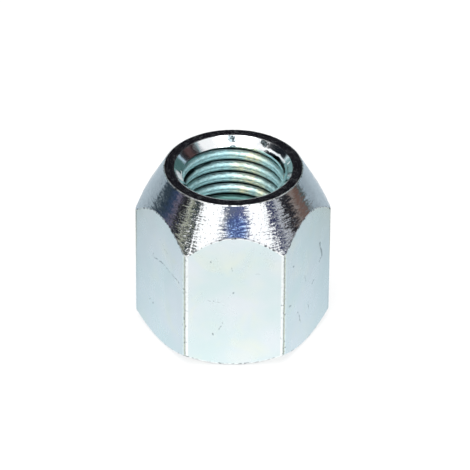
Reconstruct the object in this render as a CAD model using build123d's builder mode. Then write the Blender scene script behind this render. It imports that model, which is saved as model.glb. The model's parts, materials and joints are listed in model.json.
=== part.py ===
from build123d import *
import os
from math import cos, radians, tan

# Open lug nut with a conical seat, forged and tapped as one piece, in millimetres.
# The origin is the centre of the flat base, +Z runs along the thread towards the seat,
# and one flat of the hexagon faces -Y.

# Hexagon that the wrench turns
across_flats = 19.0
height = 20.2
corner_radius = 0.8

# Conical seat, with the flat ring at its small end
seat_angle = 60.0
crown_diameter = 15.4
crown_edge_radius = 0.15

# Flat base, with the corners above it turned away by a chamfer
base_face_diameter = 18.2
base_chamfer_angle = 38.0

# Thread M12 x 1.5, drawn as the bore through its crests, with a countersink at each end
thread_minor_diameter = 11.0
seat_countersink_diameter = 13.1
base_countersink_diameter = 13.1
countersink_angle = 100.0

# How far the turning profiles run past the metal that they cut
overrun = 1.0

flat_radius = across_flats / 2
crown_radius = crown_diameter / 2
base_face_radius = base_face_diameter / 2
bore_radius = thread_minor_diameter / 2
seat_countersink_radius = seat_countersink_diameter / 2
base_countersink_radius = base_countersink_diameter / 2

# Slopes of the turned faces: how far out each one runs for its rise
seat_slope = tan(radians(seat_angle / 2))
chamfer_rise = tan(radians(base_chamfer_angle))
countersink_slope = tan(radians(countersink_angle / 2))

# The turned envelope clears the sharp corners of the hexagon
hexagon_half_turn = radians(360 / 6 / 2)
envelope_radius = flat_radius / cos(hexagon_half_turn) + overrun
seat_foot_height = height - (envelope_radius - crown_radius) / seat_slope
chamfer_top_height = (envelope_radius - base_face_radius) * chamfer_rise

# Each countersink runs from its mouth down to the thread's crests
seat_countersink_depth = (seat_countersink_radius - bore_radius) / countersink_slope
base_countersink_depth = (base_countersink_radius - bore_radius) / countersink_slope
mouth_overrun = overrun * countersink_slope

with BuildPart() as lug_nut:
    # Hexagonal bar with forged, rounded corners
    with BuildSketch(Plane.XY) as hexagon:
        RegularPolygon(radius=flat_radius, side_count=6, major_radius=False)
        fillet(hexagon.vertices(), radius=corner_radius)
    extrude(amount=height)

    # Conical seat and base chamfer, turned on the bar
    with BuildSketch(Plane.XZ) as envelope:
        with BuildLine():
            Polyline(
                (0, 0),
                (base_face_radius, 0),
                (envelope_radius, chamfer_top_height),
                (envelope_radius, seat_foot_height),
                (crown_radius, height),
                (0, height),
                close=True,
            )
        make_face()
        crown_edge = envelope.vertices().group_by(Axis.Y)[-1].sort_by(Axis.X)[-1]
        fillet(crown_edge, radius=crown_edge_radius)
    revolve(axis=Axis.Z, mode=Mode.INTERSECT)

    # Bore at the thread's crests, countersunk at both ends
    with BuildSketch(Plane.XZ) as bore:
        with BuildLine():
            Polyline(
                (0, -overrun),
                (base_countersink_radius + mouth_overrun, -overrun),
                (bore_radius, base_countersink_depth),
                (bore_radius, height - seat_countersink_depth),
                (seat_countersink_radius + mouth_overrun, height + overrun),
                (0, height + overrun),
                close=True,
            )
        make_face()
    revolve(axis=Axis.Z, mode=Mode.SUBTRACT)

os.makedirs("parts", exist_ok=True)
lug_nut.part.label = "lug_nut"
export_step(lug_nut.part, "parts/lug_nut.step")
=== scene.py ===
import json
from functools import partial
from math import atan, cos, hypot, pi, radians, sin, tan

import bpy
from mathutils import Matrix, Vector

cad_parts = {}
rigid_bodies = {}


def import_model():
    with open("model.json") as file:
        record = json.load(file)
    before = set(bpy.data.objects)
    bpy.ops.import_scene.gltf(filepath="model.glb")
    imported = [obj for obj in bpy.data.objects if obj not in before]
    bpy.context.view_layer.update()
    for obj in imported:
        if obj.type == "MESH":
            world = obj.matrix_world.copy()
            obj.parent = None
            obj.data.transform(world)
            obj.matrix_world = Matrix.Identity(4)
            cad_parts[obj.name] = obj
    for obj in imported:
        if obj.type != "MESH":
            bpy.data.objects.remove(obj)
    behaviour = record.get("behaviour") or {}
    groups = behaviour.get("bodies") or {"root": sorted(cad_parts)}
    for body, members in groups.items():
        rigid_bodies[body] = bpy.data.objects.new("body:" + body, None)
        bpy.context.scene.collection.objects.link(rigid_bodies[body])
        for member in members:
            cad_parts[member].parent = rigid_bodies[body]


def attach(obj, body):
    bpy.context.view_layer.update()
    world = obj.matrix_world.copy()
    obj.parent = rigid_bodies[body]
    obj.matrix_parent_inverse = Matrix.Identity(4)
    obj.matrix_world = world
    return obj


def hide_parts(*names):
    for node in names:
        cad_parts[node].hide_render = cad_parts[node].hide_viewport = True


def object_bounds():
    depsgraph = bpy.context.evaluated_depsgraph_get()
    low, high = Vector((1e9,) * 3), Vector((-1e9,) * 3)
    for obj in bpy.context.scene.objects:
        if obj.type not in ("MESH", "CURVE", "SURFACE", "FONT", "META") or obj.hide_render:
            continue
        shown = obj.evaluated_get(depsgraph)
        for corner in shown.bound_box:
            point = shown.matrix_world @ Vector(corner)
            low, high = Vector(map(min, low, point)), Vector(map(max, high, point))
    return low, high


# Open lug nut with a conical seat: zinc-plated steel, forged, turned on the cone and tapped right through.
# Everything is in metres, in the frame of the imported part: the origin is the centre of the base,
# +Z runs along the thread towards the seat, and one flat of the hexagon faces -Y.
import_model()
cad_low, cad_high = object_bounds()

MM = 0.001

# Sizes of the nut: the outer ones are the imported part's own. Half a side is the angle from a flat's middle
# to its corner.
HEIGHT = cad_high.z
FLAT_RADIUS = cad_high.y
HALF_SIDE = pi / 6
CORNER_ROUNDING = 0.8 * MM
SEAT_SLOPE = tan(radians(30))
CROWN_RADIUS = 7.7 * MM
SEAT_DEPTH = (FLAT_RADIUS - CROWN_RADIUS) / SEAT_SLOPE
BASE_FACE_RADIUS = 9.1 * MM
CHAMFER_RISE = tan(radians(38))
COUNTERSINK_RADIUS = 6.55 * MM
COUNTERSINK_SLOPE = tan(radians(50))
RIM_BREAK = 0.15 * MM
RIM_SLOPE = tan(radians(80))
CREST_RADIUS = 5.5 * MM

# Thread M12 x 1.5, right-handed: its flanks stand 60 degrees off the axis, its corners are rounded, and
# the forming tap left a seam along the middle of its crest, a groove with two sides of this angle and length.
# The first groove's root is this high at the back, and the tap has so many turns below and above it.
PITCH = 1.5 * MM
ROOT_RADIUS = 6.05 * MM
ROOT_WIDTH = 0.3 * MM
FLANK_ANGLE = 60
FLANK_LENGTH = (ROOT_RADIUS - CREST_RADIUS) / sin(radians(FLANK_ANGLE))
CREST_WIDTH = PITCH - ROOT_WIDTH - 2 * FLANK_LENGTH * cos(radians(FLANK_ANGLE))
THREAD_ROUNDING = 0.22 * MM
SEAM_ANGLE = 48
SEAM_LENGTH = 0.12 * MM
ROUNDING_STEPS = 5
ROOT_HEIGHT_AT_BACK = 17.36 * MM
TURNS_BELOW = 15
TURNS_ABOVE = 6

# How finely the round faces are divided, how far the cutting tools run past the metal, and from which angle
# an edge counts as sharp
TURNED_SIDES = 360
CORNER_SEGMENTS = 8
THREAD_STEPS = 120
OVERRUN = 2 * MM
SHARP_ANGLE = radians(22)

# Points closer than this are merged: on the nut, and on the tap, whose ends are cut more finely still
MERGE_DISTANCE = 0.008 * MM
TAP_MERGE_DISTANCE = PITCH / 1000
TAP_CUT_DISTANCE = PITCH / 10000

# Width of the worn edges, the area that none of their faces reaches, how far their middle is worn down,
# and how deep the nicks in it are
EDGE_WIDTH = 0.11 * MM
WORN_FACE_AREA = EDGE_WIDTH * MM
WEAR_DEPTH = 0.008 * MM
NICK_DEPTH = 0.006 * MM
NICK_SEED = 7
# Share of their distance from the axis that points keep which wear pushed out of the flats
PRESSED_IN = 0.999

# How far from the roots of the thread their painted shade reaches, and how far from its crests they are torn
ROOT_SHADE_DEPTH = 0.15 * MM
TORN_DEPTH = 0.25 * MM

# Along X, where the plate on the flats is brightest, and how far from there a painted shade starts and ends
# to darken them towards the sides
LEAST_SHADED_X = -0.6 * MM
SIDE_SHADE_START = 7.6 * MM
SIDE_SHADE_END = 11.1 * MM

# Middle of the stretch deep in the bore that is painted darker as shade, how far it reaches either way,
# and over which length it fades at its ends
DEEP_SHADE_MIDDLE = HEIGHT / 2
DEEP_SHADE_REACH = 2.65 * MM
DEEP_SHADE_FADE = 0.15 * MM

# Which way the six flats look
FLAT_TURNS = [radians(30 + 60 * side) for side in range(6)]
FLAT_NORMALS = [Vector((cos(turn), sin(turn), 0)) for turn in FLAT_TURNS]


def leave_only(piece):
    """Deselects everything else and makes this piece the active one."""
    bpy.ops.object.select_all(action="DESELECT")
    piece.select_set(True)
    bpy.context.view_layer.objects.active = piece


def settle(piece):
    """Puts a new primitive's place and turn into its mesh, so that its object sits at the origin."""
    leave_only(piece)
    bpy.ops.object.transform_apply(location=True, rotation=True, scale=True)
    return piece


def apply_modifier(piece, kind, **settings):
    """Adds a modifier with its settings to a piece and applies it."""
    leave_only(piece)
    modifier = piece.modifiers.new(kind.lower(), kind)
    for name, value in settings.items():
        setattr(modifier, name, value)
    bpy.ops.object.modifier_apply(modifier=modifier.name)


def combine(piece, tool, operation):
    """Cuts a piece by a tool, or keeps what both share, and throws the tool away."""
    apply_modifier(piece, "BOOLEAN", object=tool, operation=operation, solver="EXACT")
    bpy.data.objects.remove(tool)


def pick_edges(piece, wanted):
    """Goes into edit mode with the edges selected whose two ends pass the test."""
    leave_only(piece)
    bpy.ops.object.mode_set(mode="EDIT")
    bpy.ops.mesh.select_mode(type="EDGE")
    bpy.ops.mesh.select_all(action="DESELECT")
    bpy.ops.object.mode_set(mode="OBJECT")
    points = piece.data.vertices
    for edge in piece.data.edges:
        first, second = edge.vertices
        edge.select = wanted(points[first].co, points[second].co)
    bpy.ops.object.mode_set(mode="EDIT")


def turned_cone(low, low_radius, high, high_radius):
    """Closed cone around the axis, as a lathe tool's cut."""
    bpy.ops.object.select_all(action="DESELECT")
    bpy.ops.mesh.primitive_cone_add(
        vertices=TURNED_SIDES,
        radius1=low_radius,
        radius2=high_radius,
        depth=high - low,
        location=(0, 0, (low + high) / 2),
    )
    return settle(bpy.context.object)


def hexagon_blank():
    """Hexagonal bar with two corners on X and its upright edges rounded."""
    bpy.ops.object.select_all(action="DESELECT")
    bpy.ops.mesh.primitive_cylinder_add(
        vertices=6,
        radius=FLAT_RADIUS / cos(HALF_SIDE),
        depth=HEIGHT,
        location=(0, 0, HEIGHT / 2),
        rotation=(0, 0, HALF_SIDE),
    )
    blank = settle(bpy.context.object)
    pick_edges(blank, lambda a, b: abs(a.z - b.z) > HEIGHT / 2)
    bpy.ops.mesh.bevel(
        offset=CORNER_ROUNDING * tan(HALF_SIDE),
        offset_type="OFFSET",
        segments=CORNER_SEGMENTS,
        profile=0.5,
        affect="EDGES",
    )
    bpy.ops.object.mode_set(mode="OBJECT")
    return blank


def turn_seat_and_base(blank):
    """Turns the conical seat at the top and the chamfer that takes the corners off at the base."""
    low, high = -OVERRUN, HEIGHT + OVERRUN
    seat = turned_cone(
        low, CROWN_RADIUS + (HEIGHT - low) * SEAT_SLOPE, high, CROWN_RADIUS + (HEIGHT - high) * SEAT_SLOPE
    )
    combine(blank, seat, "INTERSECT")
    chamfer = turned_cone(
        low, BASE_FACE_RADIUS + low / CHAMFER_RISE, high, BASE_FACE_RADIUS + high / CHAMFER_RISE
    )
    combine(blank, chamfer, "INTERSECT")


def soften_edges(nut):
    """Wears the edges that turning left, nicks them along their middle, and presses back inside the flats
    what that pushed out of them."""
    leave_only(nut)
    bpy.ops.object.mode_set(mode="EDIT")
    bpy.ops.mesh.select_mode(type="VERT")
    bpy.ops.mesh.select_all(action="SELECT")
    bpy.ops.mesh.remove_doubles(threshold=EDGE_WIDTH / 4)
    bpy.ops.mesh.select_mode(type="EDGE")
    bpy.ops.mesh.select_all(action="DESELECT")
    bpy.ops.mesh.edges_select_sharp(sharpness=SHARP_ANGLE)
    bpy.ops.mesh.bevel(
        offset=EDGE_WIDTH, offset_type="OFFSET", segments=2, profile=0.5, affect="EDGES", clamp_overlap=False
    )
    bpy.ops.object.mode_set(mode="OBJECT")
    for face in nut.data.polygons:
        face.select = face.select and face.area < WORN_FACE_AREA
        face.material_index = WORN_EDGE if face.select else 0
    bpy.ops.object.mode_set(mode="EDIT")
    bpy.ops.mesh.select_mode(type="FACE")
    bpy.ops.mesh.select_mode(type="VERT")
    bpy.ops.mesh.select_less()
    bpy.ops.transform.shrink_fatten(value=-WEAR_DEPTH)
    bpy.ops.transform.vertex_random(offset=NICK_DEPTH, uniform=0.0, normal=0.0, seed=NICK_SEED)
    bpy.ops.object.mode_set(mode="OBJECT")
    for point in nut.data.vertices:
        point.select = max(point.co.dot(flat) for flat in FLAT_NORMALS) > FLAT_RADIUS + NICK_DEPTH / 10
    bpy.ops.object.mode_set(mode="EDIT")
    bpy.ops.transform.resize(value=(PRESSED_IN, PRESSED_IN, 1), center_override=(0, 0, 0))
    bpy.ops.object.mode_set(mode="OBJECT")


def thread_profile():
    """Steps along one pitch of the thread, upwards from its root: how each one leans, and how long it is."""
    step = FLANK_ANGLE / ROUNDING_STEPS
    chord = 2 * THREAD_ROUNDING * sin(radians(step / 2))
    saved = THREAD_ROUNDING * tan(radians(FLANK_ANGLE / 2))
    rounding = [((i + 0.5) * step, chord) for i in range(ROUNDING_STEPS)]
    rise = [(0, ROOT_WIDTH - 2 * saved)] + rounding + [(FLANK_ANGLE, FLANK_LENGTH - 2 * saved)]
    fall = [(-lean, length) for lean, length in rounding]
    land = CREST_WIDTH / 2 - saved - SEAM_LENGTH * cos(radians(SEAM_ANGLE))
    crest = [(0, land), (-SEAM_ANGLE, SEAM_LENGTH), (SEAM_ANGLE, SEAM_LENGTH), (0, land)]
    return rise + rounding[::-1] + crest + fall + [(-FLANK_ANGLE, FLANK_LENGTH - 2 * saved)] + fall[::-1]


def thread_tap():
    """Threaded rod that cuts the thread: one pitch of the profile, drawn point by point, screwed upwards
    and cut off past both ends of the nut."""
    bpy.ops.object.select_all(action="DESELECT")
    bpy.ops.mesh.primitive_plane_add(size=PITCH)
    tap = bpy.context.object
    bpy.ops.object.mode_set(mode="EDIT")
    bpy.ops.mesh.select_mode(type="VERT")
    bpy.ops.mesh.select_all(action="SELECT")
    bpy.ops.mesh.merge(type="CENTER")
    bpy.ops.mesh.select_all(action="SELECT")
    root_at_right = ROOT_HEIGHT_AT_BACK - PITCH / 4
    start = root_at_right - ROOT_WIDTH / 2 - TURNS_BELOW * PITCH
    bpy.ops.transform.translate(value=(ROOT_RADIUS, 0, start))
    for lean, length in thread_profile():
        step = (-length * sin(radians(lean)), 0, length * cos(radians(lean)))
        bpy.ops.mesh.extrude_vertices_move(TRANSFORM_OT_translate={"value": step})
    bpy.ops.object.mode_set(mode="OBJECT")
    apply_modifier(
        tap,
        "SCREW",
        axis="Z",
        angle=2 * pi,
        screw_offset=PITCH,
        iterations=TURNS_BELOW + TURNS_ABOVE,
        steps=THREAD_STEPS,
        render_steps=THREAD_STEPS,
        use_merge_vertices=True,
        merge_threshold=TAP_MERGE_DISTANCE,
    )
    bpy.ops.object.mode_set(mode="EDIT")
    bpy.ops.mesh.select_all(action="SELECT")
    bpy.ops.mesh.remove_doubles(threshold=TAP_MERGE_DISTANCE)
    for end, outward in ((-OVERRUN, -1), (HEIGHT + OVERRUN, 1)):
        bpy.ops.mesh.select_all(action="SELECT")
        bpy.ops.mesh.bisect(
            plane_co=(0, 0, end),
            plane_no=(0, 0, outward),
            use_fill=True,
            clear_outer=True,
            clear_inner=False,
            threshold=TAP_CUT_DISTANCE,
        )
    bpy.ops.mesh.select_all(action="SELECT")
    bpy.ops.mesh.normals_make_consistent(inside=False)
    bpy.ops.object.mode_set(mode="OBJECT")
    return tap


def tap_thread(nut):
    """Cuts the thread, then countersinks both of its mouths and breaks their sharp rims."""
    combine(nut, thread_tap(), "DIFFERENCE")
    cuts = ((COUNTERSINK_RADIUS, COUNTERSINK_SLOPE), (COUNTERSINK_RADIUS + RIM_BREAK, RIM_SLOPE))
    for radius, slope in cuts:
        tip, mouth = CREST_RADIUS - OVERRUN, radius + OVERRUN
        depth, rise = (radius - tip) / slope, OVERRUN / slope
        combine(nut, turned_cone(HEIGHT - depth, tip, HEIGHT + rise, mouth), "DIFFERENCE")
        combine(nut, turned_cone(-rise, mouth, depth, tip), "DIFFERENCE")
    leave_only(nut)
    bpy.ops.object.mode_set(mode="EDIT")
    bpy.ops.mesh.select_all(action="SELECT")
    bpy.ops.mesh.remove_doubles(threshold=MERGE_DISTANCE)
    bpy.ops.mesh.dissolve_degenerate(threshold=MERGE_DISTANCE)
    bpy.ops.object.mode_set(mode="OBJECT")


def linear(code):
    """Linear colour of an sRGB hex value."""
    channels = [int(code[i : i + 2], 16) / 255 for i in (1, 3, 5)]
    return [c / 12.92 if c <= 0.04045 else ((c + 0.055) / 1.055) ** 2.4 for c in channels] + [1.0]


def add_node(tree, kind, inputs=(), **settings):
    """Adds a node with its settings, and fills its inputs with values or with other nodes' outputs."""
    node = tree.nodes.new(kind)
    for name, value in settings.items():
        setattr(node, name, value)
    for name, value in dict(inputs).items():
        if isinstance(value, bpy.types.NodeSocket):
            tree.links.new(value, node.inputs[name])
        else:
            node.inputs[name].default_value = value
    return node


def new_material(name):
    """New material with an empty node tree."""
    material = bpy.data.materials.new(name)
    material.use_nodes = True
    material.node_tree.nodes.clear()
    return material, material.node_tree


# Marks of use on three flats, each told by the degrees from +X that it looks to: both ends of each mark,
# as millimetres from the flat's middle towards its right and up from the base, and its half width
FLAT_MARKS = {
    210: (
        ((-1.4, 10.9), (0.8, 11.1), 0.07),
        ((0.8, 11.1), (4.3, 10.6), 0.08),
        ((-1.2, 11.3), (-1.2, 11.3), 0.16),
        ((0.2, 13.9), (1.7, 13.0), 0.05),
        ((-2.1, 4.7), (-2.1, 4.7), 0.17),
        ((-1.4, 4.5), (-1.3, 4.5), 0.17),
    ),
    270: (
        ((-0.1, 9.9), (-0.1, 9.9), 0.15),
        ((-0.3, 12.8), (-0.3, 13.4), 0.06),
        ((-2.6, 13.9), (-2.6, 14.2), 0.06),
        ((-3.3, 9.1), (-1.6, 8.6), 0.04),
        ((2.2, 12.3), (3.0, 12.4), 0.04),
        ((-2.4, 4.5), (-2.4, 4.3), 0.11),
        ((-1.6, 5.0), (-1.3, 6.0), 0.06),
        ((-2.4, 3.0), (-2.3, 2.7), 0.07),
    ),
    330: (
        ((1.0, 16.1), (1.0, 16.1), 0.14),
        ((-3.4, 12.2), (-3.5, 12.1), 0.13),
        ((2.7, 11.6), (3.3, 9.7), 0.22),
        ((2.6, 9.2), (3.2, 9.6), 0.13),
        ((-4.3, 7.3), (-3.9, 7.2), 0.13),
        ((-2.3, 5.6), (-1.5, 3.5), 0.09),
        ((0.1, 5.3), (0.3, 4.2), 0.1),
        ((1.4, 7.4), (1.0, 7.2), 0.12),
        ((-0.7, 9.3), (-0.4, 8.4), 0.08),
    ),
}

# Blue tint painted low on the front of the cone, a painted reflection that deepens the blue cards it mirrors
# there: its two ends and its half width in millimetres
BLUE_REFLECTION_SPOT = ((0.2, -8.8, 18.3), (0.2, -9.4, 17.2), 1.6)

# Straw-coloured passivation down the thread at the back, right of the middle, in the same form
STRAW_COLUMN = ((2.1, 5.2, 20), (2.1, 5.2, 8), 3.0)

# Pitted scuffs and bright scratches on the countersink, and painted shadow along its lower edge where the
# thread begins: both ends of each one, as degrees from the back towards the right and millimetres down the
# slope, and its half width in millimetres
RIM_SCUFFS = (
    ((-0.6, 0.45), (-0.2, 0.75), 0.85),
    ((-2.4, 1.34), (3.2, 1.3), 0.2),
    ((32, 0.3), (36, 0.45), 0.46),
)
RIM_SCRATCHES = (
    ((31, 0.95), (44, 0.86), 0.15),
    ((44, 0.86), (60, 0.76), 0.21),
    ((60, 0.76), (74, 0.8), 0.18),
    ((79, 0.3), (80, 0.5), 0.16),
    ((-88, 1.15), (-104, 1.1), 0.2),
    ((-96, 0.6), (-106, 0.65), 0.6),
)
RIM_EDGE_SHADOW = (
    ((56, 1.2), (67, 1.18), 0.26),
    ((67, 1.18), (78, 1.16), 0.28),
    ((78, 1.16), (90, 1.2), 0.26),
)

# Painted shade along the first groove: both ends of each stretch, as degrees from the back towards the left
# and millimetres down the flank that looks upwards, and its half width in millimetres
GROOVE_SHADE = (
    ((92, 0.38), (66, 0.28), 0.65),
    ((66, 0.28), (48, 0.14), 0.55),
    ((48, 0.14), (24, 0.0), 0.34),
)


def on_flat(turn, along, up):
    """Place in millimetres on the flat that looks to an angle."""
    outward = Vector((cos(radians(turn)), sin(radians(turn)), 0))
    rightward = Vector((-outward.y, outward.x, 0))
    return outward * (FLAT_RADIUS / MM) + rightward * along + Vector((0, 0, up))


def on_countersink(turn, down):
    """Place in millimetres on the upper countersink."""
    slope = atan(COUNTERSINK_SLOPE)
    radius = COUNTERSINK_RADIUS / MM - down * sin(slope)
    return radius * sin(radians(turn)), radius * cos(radians(turn)), HEIGHT / MM - down * cos(slope)


def in_groove(turn, down):
    """Place in millimetres on the flank below the thread's first groove."""
    radius = ROOT_RADIUS / MM - down * sin(radians(FLANK_ANGLE))
    top = (ROOT_HEIGHT_AT_BACK + PITCH * turn / 360 - ROOT_WIDTH / 2) / MM
    return -radius * sin(radians(turn)), radius * cos(radians(turn)), top - down * cos(radians(FLANK_ANGLE))


def placed(marks, where):
    """Marks whose ends a function has turned into places."""
    return [(where(*start), where(*end), half_width) for start, end, half_width in marks]


def marked(tree, place, marks, ragged=0.0):
    """1 on the marks of a list, 0 away from them. Their sides may be ragged by a number of millimetres."""
    strongest = 0.0
    if ragged:
        waver_size = 0.5 * MM
        waver = add_node(
            tree, "ShaderNodeTexNoise", {"Vector": place, "Scale": 1 / waver_size, "Detail": 3.0}
        )
        either_way = add_node(
            tree,
            "ShaderNodeVectorMath",
            {0: waver.outputs["Color"], 1: (0.5, 0.5, 0.5)},
            operation="SUBTRACT",
        )
        astray = add_node(
            tree,
            "ShaderNodeVectorMath",
            {0: either_way.outputs[0], "Scale": 2 * ragged * MM},
            operation="SCALE",
        )
        strayed = add_node(tree, "ShaderNodeVectorMath", {0: place, 1: astray.outputs[0]}, operation="ADD")
        place = strayed.outputs[0]
    for start, end, half_width in marks:
        start, end = Vector(start) * MM, Vector(end) * MM
        along = end - start
        square = max(along.length_squared, (half_width * MM) ** 2)
        from_start = add_node(tree, "ShaderNodeVectorMath", {0: place, 1: start}, operation="SUBTRACT")
        share = add_node(
            tree,
            "ShaderNodeVectorMath",
            {0: from_start.outputs[0], 1: along / square},
            operation="DOT_PRODUCT",
        )
        nearest = add_node(tree, "ShaderNodeClamp", {"Value": share.outputs["Value"]})
        foot = add_node(
            tree, "ShaderNodeVectorMath", {0: along, "Scale": nearest.outputs["Result"]}, operation="SCALE"
        )
        away = add_node(
            tree, "ShaderNodeVectorMath", {0: from_start.outputs[0], 1: foot.outputs[0]}, operation="DISTANCE"
        )
        mark = add_node(
            tree,
            "ShaderNodeMapRange",
            {
                "Value": away.outputs["Value"],
                "From Min": half_width * MM,
                "From Max": half_width * MM / 3,
            },
            interpolation_type="SMOOTHSTEP",
        )
        stronger = add_node(
            tree, "ShaderNodeMath", {0: strongest, 1: mark.outputs["Result"]}, operation="MAXIMUM"
        )
        strongest = stronger.outputs[0]
    return strongest


def forged_zinc():
    """Bright zinc plate with a pale blue passivation, over flats that the forging die left smooth.
    It gives a hazy mirror with soft blue, green and straw-coloured patches, and pits and scratches of use,
    and a painted shade darkens it towards the sides."""
    material, tree = new_material("bright_zinc_plate_on_forged_flats")
    place = add_node(tree, "ShaderNodeTexCoord").outputs["Object"]
    patch_size = 5 * MM
    straw_size = 3.5 * MM
    smear_width = 1.6 * MM
    smear_height = 3.2 * MM
    patch = add_node(tree, "ShaderNodeTexNoise", {"Vector": place, "Scale": 1 / patch_size, "Detail": 3.0})
    straw = add_node(
        tree,
        "ShaderNodeTexNoise",
        {"Vector": place, "Scale": 1 / straw_size, "Detail": 4.0, "Distortion": 0.6},
    )
    smear = add_node(
        tree,
        "ShaderNodeMapping",
        {"Vector": place, "Scale": (1 / smear_width, 1 / smear_width, 1 / smear_height)},
    )
    smears = add_node(
        tree,
        "ShaderNodeTexNoise",
        {"Vector": smear.outputs["Vector"], "Scale": 1.0, "Detail": 4.0, "Distortion": 0.8},
    )
    tint = add_node(
        tree, "ShaderNodeMapRange", {"Value": patch.outputs["Fac"], "From Min": 0.35, "From Max": 0.65}
    )
    cool = add_node(
        tree,
        "ShaderNodeMix",
        {"Factor": tint.outputs["Result"], "A": linear("#D9E5E6"), "B": linear("#E4E7EB")},
        data_type="RGBA",
    )
    warmth = add_node(
        tree,
        "ShaderNodeMapRange",
        {"Value": straw.outputs["Fac"], "From Min": 0.5, "From Max": 0.75, "To Max": 0.55},
    )
    warm = add_node(
        tree,
        "ShaderNodeMix",
        {"Factor": warmth.outputs["Result"], "A": cool.outputs["Result"], "B": linear("#E9EBDD")},
        data_type="RGBA",
    )
    across = add_node(tree, "ShaderNodeSeparateXYZ", {"Vector": place}).outputs["X"]
    from_middle = add_node(tree, "ShaderNodeMath", {0: across, 1: LEAST_SHADED_X}, operation="SUBTRACT")
    sideways = add_node(tree, "ShaderNodeMath", {0: from_middle.outputs[0]}, operation="ABSOLUTE")
    # Painted shade: the flats turn darker the further they lie to either side along X
    painted_side_shade = add_node(
        tree,
        "ShaderNodeMapRange",
        {"Value": sideways.outputs[0], "From Min": SIDE_SHADE_START, "From Max": SIDE_SHADE_END, "To Max": 0.8},
    )
    side_shaded = add_node(
        tree,
        "ShaderNodeMix",
        {"Factor": painted_side_shade.outputs["Result"], "A": warm.outputs["Result"], "B": linear("#CBD6DA")},
        data_type="RGBA",
    )
    flat_marks = []
    for turn, marks_of_flat in FLAT_MARKS.items():
        flat_marks += placed(marks_of_flat, partial(on_flat, turn))
    marks = marked(tree, place, flat_marks, ragged=0.3)
    wear = add_node(tree, "ShaderNodeMath", {0: marks, 1: 0.7}, operation="MULTIPLY")
    colour = add_node(
        tree,
        "ShaderNodeMix",
        {"Factor": wear.outputs[0], "A": side_shaded.outputs["Result"], "B": linear("#6E7A80")},
        data_type="RGBA",
    )
    rough = add_node(
        tree,
        "ShaderNodeMapRange",
        {"Value": smears.outputs["Fac"], "From Min": 0.3, "From Max": 0.7, "To Min": 0.24, "To Max": 0.36},
    )
    relief = add_node(
        tree, "ShaderNodeMath", {0: marks, 1: -0.5, 2: smears.outputs["Fac"]}, operation="MULTIPLY_ADD"
    )
    bump = add_node(
        tree, "ShaderNodeBump", {"Strength": 0.25, "Distance": 0.03 * MM, "Height": relief.outputs[0]}
    )
    shader = add_node(
        tree,
        "ShaderNodeBsdfPrincipled",
        {
            "Base Color": colour.outputs["Result"],
            "Metallic": 1.0,
            "Roughness": rough.outputs["Result"],
            "Normal": bump.outputs["Normal"],
        },
    )
    add_node(tree, "ShaderNodeOutputMaterial", {"Surface": shader.outputs["BSDF"]})
    return material


def handled_and_highlit_zinc():
    """Zinc plate on the upright corners, rubbed bright by sockets and knocked against other nuts, with a
    painted highlight on top. It gives a whiter line than the flats, broken by small nicks."""
    material, tree = new_material("zinc_plate_rubbed_and_highlit_on_corners")
    place = add_node(tree, "ShaderNodeTexCoord").outputs["Object"]
    nick_size = 0.35 * MM
    nicks = add_node(tree, "ShaderNodeTexNoise", {"Vector": place, "Scale": 1 / nick_size, "Detail": 2.0})
    deep = add_node(
        tree,
        "ShaderNodeMapRange",
        {"Value": nicks.outputs["Fac"], "From Min": 0.6, "From Max": 0.72},
        interpolation_type="SMOOTHSTEP",
    )
    # Partly wear, partly painted highlight: the corners are whiter than the flats
    colour = add_node(
        tree,
        "ShaderNodeMix",
        {"Factor": deep.outputs["Result"], "A": linear("#EEF3F3"), "B": linear("#AEB9BC")},
        data_type="RGBA",
    )
    bump = add_node(
        tree, "ShaderNodeBump", {"Strength": 0.5, "Distance": 0.03 * MM, "Height": nicks.outputs["Fac"]}
    )
    shader = add_node(
        tree,
        "ShaderNodeBsdfPrincipled",
        {
            "Base Color": colour.outputs["Result"],
            "Metallic": 1.0,
            "Roughness": 0.24,
            "Normal": bump.outputs["Normal"],
        },
    )
    add_node(tree, "ShaderNodeOutputMaterial", {"Surface": shader.outputs["BSDF"]})
    return material


def chipped_zinc(name, chip, roughness):
    """Zinc plate on the sharp turned edges, nicked along their length, so that it sparkles light and dark."""
    material, tree = new_material(name)
    place = add_node(tree, "ShaderNodeTexCoord").outputs["Object"]
    chip_size = 0.3 * MM
    chips = add_node(tree, "ShaderNodeTexNoise", {"Vector": place, "Scale": 1 / chip_size, "Detail": 2.0})
    chipped = add_node(
        tree, "ShaderNodeMapRange", {"Value": chips.outputs["Fac"], "From Min": 0.36, "From Max": 0.5}
    )
    colour = add_node(
        tree,
        "ShaderNodeMix",
        {"Factor": chipped.outputs["Result"], "A": linear(chip), "B": linear("#F4F6F6")},
        data_type="RGBA",
    )
    shader = add_node(
        tree,
        "ShaderNodeBsdfPrincipled",
        {"Base Color": colour.outputs["Result"], "Metallic": 1.0, "Roughness": roughness},
    )
    add_node(tree, "ShaderNodeOutputMaterial", {"Surface": shader.outputs["BSDF"]})
    return material


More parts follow.
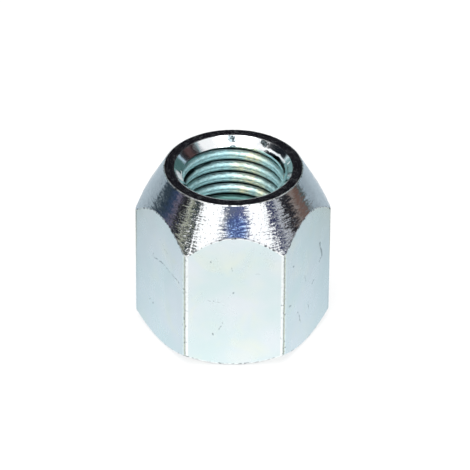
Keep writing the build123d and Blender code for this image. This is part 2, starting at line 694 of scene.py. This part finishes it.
def turned_zinc():
    """Zinc plate over a lathe-turned cone. The tool left fine rings around it, which smear
    each reflection along the slope of the cone and fray its sides into hairs.
    The real rings are finer than a pixel, so they are drawn 0.07 mm apart."""
    material, tree = new_material("zinc_plate_on_turned_seat")
    place = add_node(tree, "ShaderNodeTexCoord").outputs["Object"]
    ring_spacing = 0.07 * MM
    hair_length = 1.2 * MM
    grit_size = 0.14 * MM
    rings = add_node(
        tree,
        "ShaderNodeMapping",
        {"Vector": place, "Scale": (1 / hair_length, 1 / hair_length, 1 / ring_spacing)},
    )
    fray = add_node(
        tree, "ShaderNodeTexNoise", {"Vector": rings.outputs["Vector"], "Scale": 1.0, "Detail": 3.0}
    )
    grit = add_node(tree, "ShaderNodeTexNoise", {"Vector": place, "Scale": 1 / grit_size, "Detail": 1.0})
    frayed = add_node(
        tree,
        "ShaderNodeMapRange",
        {"Value": fray.outputs["Fac"], "From Min": 0.25, "From Max": 0.75, "To Min": -0.1, "To Max": 0.1},
    )
    either_way = add_node(
        tree,
        "ShaderNodeMapRange",
        {"Value": grit.outputs["Fac"], "From Min": 0.25, "From Max": 0.75, "To Min": -1.0, "To Max": 1.0},
    )
    few = add_node(tree, "ShaderNodeMath", {0: either_way.outputs["Result"], 1: 3.0}, operation="POWER")
    uneven = add_node(
        tree,
        "ShaderNodeMath",
        {0: few.outputs[0], 1: 0.24, 2: frayed.outputs["Result"]},
        operation="MULTIPLY_ADD",
    )
    height = add_node(tree, "ShaderNodeSeparateXYZ", {"Vector": place}).outputs["Z"]
    coarser = add_node(
        tree,
        "ShaderNodeMapRange",
        {"Value": height, "From Min": HEIGHT, "From Max": HEIGHT - SEAT_DEPTH, "To Min": 0.45, "To Max": 1.2},
    )
    blue_share = marked(tree, place, [BLUE_REFLECTION_SPOT])
    coarsest = add_node(
        tree,
        "ShaderNodeMath",
        {0: blue_share, 1: 0.9, 2: coarser.outputs["Result"]},
        operation="MULTIPLY_ADD",
    )
    lean = add_node(
        tree, "ShaderNodeMath", {0: uneven.outputs[0], 1: coarsest.outputs[0]}, operation="MULTIPLY"
    )
    # Painted reflection: a blue tint low on the front deepens the blue cards that the cone mirrors there
    colour = add_node(
        tree,
        "ShaderNodeMix",
        {"Factor": blue_share, "A": linear("#EEF1F3"), "B": linear("#AECBFA")},
        data_type="RGBA",
    )
    tangent = add_node(tree, "ShaderNodeTangent", direction_type="RADIAL", axis="Z").outputs["Tangent"]
    smooth = add_node(tree, "ShaderNodeNewGeometry").outputs["Normal"]
    sideways = add_node(
        tree, "ShaderNodeVectorMath", {0: tangent, "Scale": lean.outputs[0]}, operation="SCALE"
    )
    leant = add_node(tree, "ShaderNodeVectorMath", {0: smooth, 1: sideways.outputs[0]}, operation="ADD")
    normal = add_node(tree, "ShaderNodeVectorMath", {0: leant.outputs[0]}, operation="NORMALIZE")
    shader = add_node(
        tree,
        "ShaderNodeBsdfPrincipled",
        {
            "Base Color": colour.outputs["Result"],
            "Metallic": 1.0,
            "Roughness": 0.15,
            "Anisotropic": 0.8,
            "Anisotropic Rotation": 0.25,
            "Normal": normal.outputs[0],
            "Tangent": tangent,
        },
    )
    add_node(tree, "ShaderNodeOutputMaterial", {"Surface": shader.outputs["BSDF"]})
    return material


def faced_zinc():
    """Zinc plate over the faced ring and the countersinks, which the tool left nearly mirror smooth.
    It gives clear reflections, broken on the upper countersink by scuffs and scratches, and by painted shadow
    along the thread's edge."""
    material, tree = new_material("zinc_plate_on_faced_ring")
    place = add_node(tree, "ShaderNodeTexCoord").outputs["Object"]
    grain_size = 0.5 * MM
    pit_size = 0.2 * MM
    grain = add_node(tree, "ShaderNodeTexNoise", {"Vector": place, "Scale": 1 / grain_size, "Detail": 3.0})
    scuffs, scratches, painted_shade = (
        marked(tree, place, placed(marks, on_countersink), ragged=0.15)
        for marks in (RIM_SCUFFS, RIM_SCRATCHES, RIM_EDGE_SHADOW)
    )
    speckle = add_node(tree, "ShaderNodeTexNoise", {"Vector": place, "Scale": 1 / pit_size, "Detail": 2.0})
    pitted = add_node(
        tree, "ShaderNodeMapRange", {"Value": speckle.outputs["Fac"], "From Min": 0.48, "From Max": 0.56}
    )
    pits = add_node(tree, "ShaderNodeMath", {0: scuffs, 1: pitted.outputs["Result"]}, operation="MULTIPLY")
    relief = add_node(
        tree,
        "ShaderNodeMath",
        {0: pits.outputs[0], 1: -2.0, 2: grain.outputs["Fac"]},
        operation="MULTIPLY_ADD",
    )
    smudge = add_node(
        tree,
        "ShaderNodeMapRange",
        {"Value": grain.outputs["Fac"], "From Min": 0.45, "From Max": 0.8, "To Min": 0.1, "To Max": 0.2},
    )
    rough = add_node(
        tree, "ShaderNodeMath", {0: scratches, 1: 0.6, 2: smudge.outputs["Result"]}, operation="MULTIPLY_ADD"
    )
    scuffed = add_node(
        tree,
        "ShaderNodeMix",
        {"Factor": scuffs, "A": linear("#F3F6F8"), "B": linear("#606A6E")},
        data_type="RGBA",
    )
    # Pits darken the plate, and a painted shadow darkens it along the thread's edge
    dark = add_node(tree, "ShaderNodeMath", {0: pits.outputs[0], 1: painted_shade}, operation="MAXIMUM")
    colour = add_node(
        tree,
        "ShaderNodeMix",
        {"Factor": dark.outputs[0], "A": scuffed.outputs["Result"], "B": linear("#1E2628")},
        data_type="RGBA",
    )
    bump = add_node(
        tree, "ShaderNodeBump", {"Strength": 0.3, "Distance": 0.02 * MM, "Height": relief.outputs[0]}
    )
    shader = add_node(
        tree,
        "ShaderNodeBsdfPrincipled",
        {
            "Base Color": colour.outputs["Result"],
            "Metallic": 1.0,
            "Roughness": rough.outputs[0],
            "Normal": bump.outputs["Normal"],
        },
    )
    add_node(tree, "ShaderNodeOutputMaterial", {"Surface": shader.outputs["BSDF"]})
    return material


def tapped_zinc():
    """Zinc plate inside the tapped thread, left rough by the tap. The passivation lies thicker there, sea
    green with straw-coloured patches. Painted shade darkens the roots, the first groove's left and a stretch
    deep in the bore."""
    material, tree = new_material("green_passivated_zinc_in_thread")
    place = add_node(tree, "ShaderNodeTexCoord").outputs["Object"]
    patch_size = 1.5 * MM
    tear_length = 0.45 * MM
    tear_width = 0.16 * MM
    patch = add_node(tree, "ShaderNodeTexNoise", {"Vector": place, "Scale": 1 / patch_size, "Detail": 3.0})
    along = add_node(
        tree,
        "ShaderNodeMapping",
        {"Vector": place, "Scale": (1 / tear_length, 1 / tear_length, 1 / tear_width)},
    )
    tears = add_node(
        tree, "ShaderNodeTexNoise", {"Vector": along.outputs["Vector"], "Scale": 1.0, "Detail": 3.0}
    )
    straw_side = marked(tree, place, [STRAW_COLUMN])
    straw = add_node(
        tree,
        "ShaderNodeMapRange",
        {"Value": patch.outputs["Fac"], "From Min": 0.3, "From Max": 0.6, "To Max": 0.9},
    )
    straw_share = add_node(
        tree, "ShaderNodeMath", {0: straw_side, 1: straw.outputs["Result"]}, operation="MULTIPLY"
    )
    plate = add_node(
        tree,
        "ShaderNodeMix",
        {"Factor": straw_share.outputs[0], "A": linear("#C6E9EC"), "B": linear("#F3EFD2")},
        data_type="RGBA",
    )
    specks = add_node(
        tree,
        "ShaderNodeMapRange",
        {"Value": tears.outputs["Fac"], "From Min": 0.45, "From Max": 0.68, "To Max": 0.8},
    )
    mottled = add_node(
        tree,
        "ShaderNodeMix",
        {"Factor": specks.outputs["Result"], "A": plate.outputs["Result"], "B": linear("#A3C4C6")},
        data_type="RGBA",
    )
    across = add_node(tree, "ShaderNodeVectorMath", {0: place, 1: (1, 1, 0)}, operation="MULTIPLY")
    radius = add_node(tree, "ShaderNodeVectorMath", {0: across.outputs[0]}, operation="LENGTH")
    # Painted shade: the roots of the thread darken with their depth
    painted_root_shade = add_node(
        tree,
        "ShaderNodeMapRange",
        {
            "Value": radius.outputs["Value"],
            "From Min": ROOT_RADIUS - ROOT_SHADE_DEPTH,
            "From Max": ROOT_RADIUS,
        },
    )
    # Painted shade along the left of the first groove
    painted_shade = marked(tree, place, placed(GROOVE_SHADE, in_groove))
    # Painted shade: a stretch deep in the bore is darker
    height = add_node(tree, "ShaderNodeSeparateXYZ", {"Vector": place}).outputs["Z"]
    above_middle = add_node(tree, "ShaderNodeMath", {0: height, 1: DEEP_SHADE_MIDDLE}, operation="SUBTRACT")
    from_middle = add_node(tree, "ShaderNodeMath", {0: above_middle.outputs[0]}, operation="ABSOLUTE")
    deep_shade = add_node(
        tree,
        "ShaderNodeMapRange",
        {"Value": from_middle.outputs[0], "From Min": DEEP_SHADE_REACH, "From Max": DEEP_SHADE_REACH - DEEP_SHADE_FADE},
    )
    deep_shaded = add_node(
        tree,
        "ShaderNodeMix",
        {"Factor": deep_shade.outputs["Result"], "A": mottled.outputs["Result"], "B": linear("#618985")},
        data_type="RGBA",
    )
    dark = add_node(tree, "ShaderNodeMath", {0: painted_root_shade.outputs["Result"], 1: painted_shade}, operation="MAXIMUM")
    colour = add_node(
        tree,
        "ShaderNodeMix",
        {"Factor": dark.outputs[0], "A": deep_shaded.outputs["Result"], "B": linear("#142426")},
        data_type="RGBA",
    )
    torn = add_node(
        tree,
        "ShaderNodeMapRange",
        {
            "Value": radius.outputs["Value"],
            "From Min": CREST_RADIUS,
            "From Max": CREST_RADIUS + TORN_DEPTH,
            "To Min": 0.85,
            "To Max": 0.36,
        },
    )
    bump = add_node(
        tree, "ShaderNodeBump", {"Strength": 0.7, "Distance": 0.05 * MM, "Height": tears.outputs["Fac"]}
    )
    shader = add_node(
        tree,
        "ShaderNodeBsdfPrincipled",
        {
            "Base Color": colour.outputs["Result"],
            "Metallic": 1.0,
            "Roughness": torn.outputs["Result"],
            "Normal": bump.outputs["Normal"],
        },
    )
    add_node(tree, "ShaderNodeOutputMaterial", {"Surface": shader.outputs["BSDF"]})
    return material


FINISHES = {
    "flats": forged_zinc,
    "worn edges": lambda: chipped_zinc("zinc_plate_chipped_on_edges", "#5E6266", 0.3),
    "rim": lambda: chipped_zinc("zinc_plate_rubbed_on_rim", "#6E7C7C", 0.3),
    "corners": handled_and_highlit_zinc,
    "seat": turned_zinc,
    "faced": faced_zinc,
    "thread": tapped_zinc,
}
WORN_EDGE = list(FINISHES).index("worn edges")

# What tells the faces apart: how far a level face's normal points up or down, how far the rim's points
# inwards and the seat's upwards, how far a corner's turns from the nearest flat's without looking down
# as the chamfer does, and how close to the countersink's cone its faces lie
LEVEL = 0.999
INWARDS = -0.2
SEAT_UPWARDS = 0.4
CORNER_TURN = cos(radians(9))
CHAMFER_DOWNWARDS = -0.1
SINK_TOLERANCE = 0.01 * MM


def finish_of(face):
    """Which finish a face of the nut has, told by where it is and which way it looks."""
    if face.material_index == WORN_EDGE:
        return "worn edges"
    if abs(face.normal.z) > LEVEL:
        return "faced" if face.normal.z > 0 else "flats"
    x, y, z = face.center
    radius = hypot(x, y)
    outward = Vector((x, y)).normalized().dot(face.normal.xy)
    if abs(radius + min(z, HEIGHT - z) * COUNTERSINK_SLOPE - COUNTERSINK_RADIUS) < SINK_TOLERANCE:
        return "faced"
    if outward < INWARDS and radius > ROOT_RADIUS:
        return "rim"
    if radius < ROOT_RADIUS:
        return "thread"
    if face.normal.z > SEAT_UPWARDS:
        return "seat"
    nearest_flat = max(face.normal.dot(flat) for flat in FLAT_NORMALS)
    if nearest_flat < CORNER_TURN and face.normal.z > CHAMFER_DOWNWARDS:
        return "corners"
    return "flats"


def dress(nut):
    """Gives each face its finish and shades the nut smooth, with the rims' borders and sharp edges crisp."""
    for finish in FINISHES.values():
        nut.data.materials.append(finish())
    slots = list(FINISHES)
    for face in nut.data.polygons:
        face.material_index = slots.index(finish_of(face))
    leave_only(nut)
    bpy.ops.object.shade_smooth_by_angle(angle=SHARP_ANGLE)
    nut.active_material_index = slots.index("rim")
    bpy.ops.object.mode_set(mode="EDIT")
    bpy.ops.mesh.select_mode(type="FACE")
    bpy.ops.mesh.select_all(action="DESELECT")
    bpy.ops.object.material_slot_select()
    bpy.ops.mesh.region_to_loop()
    bpy.ops.mesh.mark_sharp()
    bpy.ops.object.mode_set(mode="OBJECT")
    apply_modifier(nut, "WEIGHTED_NORMAL", keep_sharp=True)


# The nut
nut = hexagon_blank()
turn_seat_and_base(nut)
soften_edges(nut)
tap_thread(nut)
dress(nut)
nut.name = nut.data.name = "lug_nut_plated"
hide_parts("lug_nut")
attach(nut, "root")


# The camera stands where the photograph was taken from
PHOTO_SIDE = 470
FOCAL_PIXELS = 4543
CAMERA_DISTANCE = 505.5 * MM
CAMERA_ELEVATION = radians(34.1)
CAMERA_TURN = radians(1.41)
CAMERA_ROLL = radians(0.4)
NUT_RIGHT_PIXELS = -2.1
NUT_DOWN_PIXELS = 8.0
SENSOR_WIDTH = 36


def aim_camera():
    """Aims the camera so that the nut lies where it does in the photograph."""
    centre = Vector((0, 0, HEIGHT / 2))
    level = cos(CAMERA_ELEVATION)
    outward = Vector((-sin(CAMERA_TURN) * level, -cos(CAMERA_TURN) * level, sin(CAMERA_ELEVATION)))
    right = Vector((cos(CAMERA_TURN), -sin(CAMERA_TURN), 0))
    up = outward.cross(right)
    pixel = CAMERA_DISTANCE / FOCAL_PIXELS
    target = centre - right * NUT_RIGHT_PIXELS * pixel + up * NUT_DOWN_PIXELS * pixel
    place = centre + outward * CAMERA_DISTANCE
    back = (place - target).normalized()
    right = up.cross(back).normalized()
    up = back.cross(right)
    turn = Matrix((right, up, back)).transposed().to_4x4()
    lens = bpy.data.cameras.new("photo_camera")
    lens.sensor_width = SENSOR_WIDTH
    lens.lens = SENSOR_WIDTH * FOCAL_PIXELS / PHOTO_SIDE
    lens.clip_start = CAMERA_DISTANCE / 100
    lens.clip_end = CAMERA_DISTANCE * 10
    camera = bpy.data.objects.new("photo_camera", lens)
    camera.matrix_world = Matrix.Translation(place) @ turn @ Matrix.Rotation(CAMERA_ROLL, 4, "Z")
    bpy.context.scene.collection.objects.link(camera)
    bpy.context.scene.camera = camera


# The studio: a white floor and surround, a soft lamp, and rings of coloured cards that the plate mirrors
FLOOR_SIDE = 3.0
FLOOR_DROP = 0.01 * MM
FLOOR_GLOW_SHARE = 0.75
AMBIENT_STRENGTH = 0.8
CARD_SIDES = 96
WALL_RADIUS = 0.3
WALL_HEIGHT = 0.36
LOW_WALL_HEIGHT = 0.04
MIDDLE_WALL_HEIGHT = 0.16
FAR_FLOOR_RADIUS = 0.04
NEAR_FLOOR_RADIUS = 0.0092
CARD_RISE = 0.05 * MM
WALL_STRENGTH = 1.2

# Strengths of the cards on the floor, what each ring gains towards the nut, and how many times
# its inner radius that gain reaches
FAR_FLOOR_STRENGTH = 1.0
FAR_FLOOR_GAIN = 0.55
NEAR_FLOOR_STRENGTH = 0.98
NEAR_FLOOR_GAIN = 0.3
GAIN_REACH = 4

# Colours of the cards by azimuth in degrees: 0 is the camera's side, and it grows to the right.
# Each colour holds from its azimuth to the next one.
CENTRE_CARDS = (
    (-85, "#1C1C21"),
    (-70, "#D2D6D2"),
    (-67.5, "#A5A793"),
    (-62, "#14222A"),
    (-50, "#FFFFFF"),
    (-16.5, "#404A60"),
    (-5, "#263864"),
    (5, "#1E3068"),
    (18, "#FFFFFF"),
    (49, "#1E254A"),
    (60.5, "#A5A8AE"),
    (67.5, "#C6C8CC"),
    (69.5, "#1D1B20"),
)
LOW_WALL_CARDS = (
    (-180, "#FFFFFF"),
    (-168, "#86A8A8"),
    (-138, "#8E9CA6"),
    (-122, "#25333D"),
    (-101, "#2A3B56"),
    (-91, "#6B6575"),
    *CENTRE_CARDS,
    (90, "#857B76"),
    (94.5, "#6F5349"),
    (107, "#43504F"),
    (115, "#8E9CA6"),
    (138, "#86A8A8"),
    (168, "#FFFFFF"),
)
MIDDLE_WALL_CARDS = (
    (-180, "#B8BEC0"),
    (-160, "#6F8E90"),
    (-133, "#C4D6DA"),
    (-122, "#161C26"),
    (-112, "#1F2B36"),
    (-101, "#26364F"),
    (-91, "#6B6575"),
    *CENTRE_CARDS,
    (90, "#857B76"),
    (94.5, "#5F4A42"),
    (106, "#2A1F1E"),
    (119, "#A3BBC8"),
    (128, "#42605F"),
    (160, "#B8BEC0"),
)
HIGH_WALL_CARDS = (
    (-180, "#131217"),
    (-158, "#86A8A8"),
    (-130, "#14181E"),
    *CENTRE_CARDS,
    (82, "#232B4A"),
    (88, "#7F989C"),
    (93, "#2B2325"),
    (104, "#4A3838"),
    (114, "#221D1F"),
    (142, "#7FA3A1"),
    (158, "#131217"),
)
# Near the nut they fan out from the hexagon's front and back corners instead, alike on all four
NEAR_FLOOR_CARDS = (
    (-180, "#F2F8F8"),
    (16, "#FFFFFF"),
    (58, "#6E7674"),
    (74, "#DFE2CC"),
    (84, "#D4E0E5"),
)
FAR_FLOOR_CARDS = (
    (-180, "#FFFFFF"),
    (-168, "#9AA6AE"),
    (-60, "#F4F6F6"),
    (60, "#9AA6AE"),
    (168, "#FFFFFF"),
)


def seen_directly(tree):
    """1 for what the camera or a reflection sees, 0 for light on its way."""
    path = add_node(tree, "ShaderNodeLightPath")
    kinds = [path.outputs[name] for name in ("Is Camera Ray", "Is Glossy Ray", "Is Transmission Ray")]
    some = add_node(tree, "ShaderNodeMath", {0: kinds[0], 1: kinds[1]}, operation="ADD")
    every = add_node(
        tree, "ShaderNodeMath", {0: some.outputs[0], 1: kinds[2]}, operation="ADD", use_clamp=True
    )
    return every.outputs[0]


def white_floor():
    """Matt white paper. Where it is seen it glows, so that only the nut's shadow shows on it,
    but it doesn't glow under the nut."""
    bpy.ops.object.select_all(action="DESELECT")
    bpy.ops.mesh.primitive_plane_add(size=FLOOR_SIDE, location=(0, 0, -FLOOR_DROP))
    floor = settle(bpy.context.object)
    floor.name = "studio_floor"
    material, tree = new_material("white_paper_floor")
    paper = add_node(tree, "ShaderNodeBsdfDiffuse", {"Color": linear("#F7F7F7")})
    glow = add_node(tree, "ShaderNodeEmission", {"Color": linear("#FFFFFF"), "Strength": 1.0})
    place = add_node(tree, "ShaderNodeTexCoord").outputs["Object"]
    from_nut = add_node(tree, "ShaderNodeVectorMath", {0: place}, operation="LENGTH")
    clear = add_node(
        tree, "ShaderNodeMath", {0: from_nut.outputs["Value"], 1: BASE_FACE_RADIUS}, operation="GREATER_THAN"
    )
    outside = add_node(
        tree, "ShaderNodeMath", {0: seen_directly(tree), 1: clear.outputs[0]}, operation="MULTIPLY"
    )
    share = add_node(
        tree, "ShaderNodeMath", {0: outside.outputs[0], 1: FLOOR_GLOW_SHARE}, operation="MULTIPLY"
    )
    mix = add_node(
        tree,
        "ShaderNodeMixShader",
        {0: share.outputs[0], 1: paper.outputs["BSDF"], 2: glow.outputs["Emission"]},
    )
    add_node(tree, "ShaderNodeOutputMaterial", {"Surface": mix.outputs[0]})
    floor.data.materials.append(material)


def white_surround():
    """White world that lights the nut softly and is plain white where it is seen."""
    world = bpy.data.worlds.new("white_surround")
    world.use_nodes = True
    tree = world.node_tree
    tree.nodes.clear()
    ambient = add_node(
        tree, "ShaderNodeBackground", {"Color": linear("#FFFFFF"), "Strength": AMBIENT_STRENGTH}
    )
    white = add_node(tree, "ShaderNodeBackground", {"Color": linear("#FFFFFF"), "Strength": 1.0})
    mix = add_node(
        tree,
        "ShaderNodeMixShader",
        {0: seen_directly(tree), 1: ambient.outputs["Background"], 2: white.outputs["Background"]},
    )
    add_node(tree, "ShaderNodeOutputWorld", {"Surface": mix.outputs[0]})
    bpy.context.scene.world = world


def card_ring(name, low, low_radius, high, high_radius, strength, cards, fan=None, near_gain=0):
    """Ring of cards around the nut that only reflections see. They spread from the axis,
    or alike from four points at a distance either way on X and Y, and may be brighter near the nut."""
    bpy.ops.object.select_all(action="DESELECT")
    bpy.ops.mesh.primitive_cone_add(
        vertices=CARD_SIDES,
        radius1=low_radius,
        radius2=high_radius,
        depth=high - low,
        end_fill_type="NOTHING",
        location=(0, 0, (low + high) / 2),
    )
    ring = settle(bpy.context.object)
    ring.name = name
    ring.visible_camera = False
    ring.visible_diffuse = False
    ring.visible_shadow = False
    material, tree = new_material(name)
    place = add_node(tree, "ShaderNodeTexCoord").outputs["Object"]
    if near_gain:
        flat = add_node(tree, "ShaderNodeVectorMath", {0: place, 1: (1, 1, 0)}, operation="MULTIPLY")
        radius = add_node(tree, "ShaderNodeVectorMath", {0: flat.outputs[0]}, operation="LENGTH")
        gain = add_node(
            tree,
            "ShaderNodeMapRange",
            {
                "Value": radius.outputs["Value"],
                "From Min": high_radius,
                "From Max": GAIN_REACH * high_radius,
                "To Min": strength + near_gain,
                "To Max": strength,
            },
        )
        strength = gain.outputs["Result"]
    if fan:
        fan_x, fan_y = fan
        quarter = add_node(tree, "ShaderNodeVectorMath", {0: place}, operation="ABSOLUTE")
        mirrored = add_node(
            tree, "ShaderNodeVectorMath", {0: quarter.outputs[0], 1: (1, -1, 1)}, operation="MULTIPLY"
        )
        shifted = add_node(
            tree, "ShaderNodeVectorMath", {0: mirrored.outputs[0], 1: (-fan_x, fan_y, 0)}, operation="ADD"
        )
        place = shifted.outputs[0]
    turned = add_node(tree, "ShaderNodeMapping", {"Vector": place, "Rotation": (0, 0, pi / 2)})
    azimuth = add_node(
        tree, "ShaderNodeTexGradient", {"Vector": turned.outputs["Vector"]}, gradient_type="RADIAL"
    )
    colours = add_node(tree, "ShaderNodeValToRGB", {"Fac": azimuth.outputs["Fac"]})
    ramp = colours.color_ramp
    ramp.interpolation = "CONSTANT"
    ramp.elements.remove(ramp.elements[1])
    for start, colour in cards:
        stop = ramp.elements[0] if start == -180 else ramp.elements.new((start + 180) / 360)
        stop.color = linear(colour)
    shade = add_node(tree, "ShaderNodeEmission", {"Color": colours.outputs["Color"], "Strength": strength})
    add_node(tree, "ShaderNodeOutputMaterial", {"Surface": shade.outputs["Emission"]})
    ring.data.materials.append(material)


# Where the lamp hangs, seen from the base of the nut, its side and how bright it looks
LAMP_DISTANCE = 0.5
LAMP_SIDE = 0.4
LAMP_AZIMUTH = radians(-10)
LAMP_ELEVATION = radians(64)
LAMP_RADIANCE = 5.0


def soft_lamp():
    """Square soft box high above the camera's side of the nut."""
    level = cos(LAMP_ELEVATION)
    outward = Vector((sin(LAMP_AZIMUTH) * level, -cos(LAMP_AZIMUTH) * level, sin(LAMP_ELEVATION)))
    light = bpy.data.lights.new("soft_box", "AREA")
    light.size = LAMP_SIDE
    light.energy = LAMP_RADIANCE * pi * LAMP_SIDE**2
    lamp = bpy.data.objects.new("soft_box", light)
    lamp.location = outward * LAMP_DISTANCE
    lamp.rotation_euler = outward.to_track_quat("Z", "Y").to_euler()
    bpy.context.scene.collection.objects.link(lamp)


aim_camera()
white_floor()
white_surround()
soft_lamp()
for name, low, high, cards in (
    ("card_low_wall", 0, LOW_WALL_HEIGHT, LOW_WALL_CARDS),
    ("card_middle_wall", LOW_WALL_HEIGHT, MIDDLE_WALL_HEIGHT, MIDDLE_WALL_CARDS),
    ("card_high_wall", MIDDLE_WALL_HEIGHT, WALL_HEIGHT, HIGH_WALL_CARDS),
):
    card_ring(name, low, WALL_RADIUS, high, WALL_RADIUS, WALL_STRENGTH, cards)
card_ring(
    "card_far_floor",
    CARD_RISE,
    WALL_RADIUS,
    2 * CARD_RISE,
    FAR_FLOOR_RADIUS,
    FAR_FLOOR_STRENGTH,
    FAR_FLOOR_CARDS,
    near_gain=FAR_FLOOR_GAIN,
)
card_ring(
    "card_near_floor",
    CARD_RISE,
    FAR_FLOOR_RADIUS,
    2 * CARD_RISE,
    NEAR_FLOOR_RADIUS,
    NEAR_FLOOR_STRENGTH,
    NEAR_FLOOR_CARDS,
    fan=(FLAT_RADIUS * tan(HALF_SIDE), FLAT_RADIUS),
    near_gain=NEAR_FLOOR_GAIN,
)

bpy.context.scene.view_settings.view_transform = "Standard"
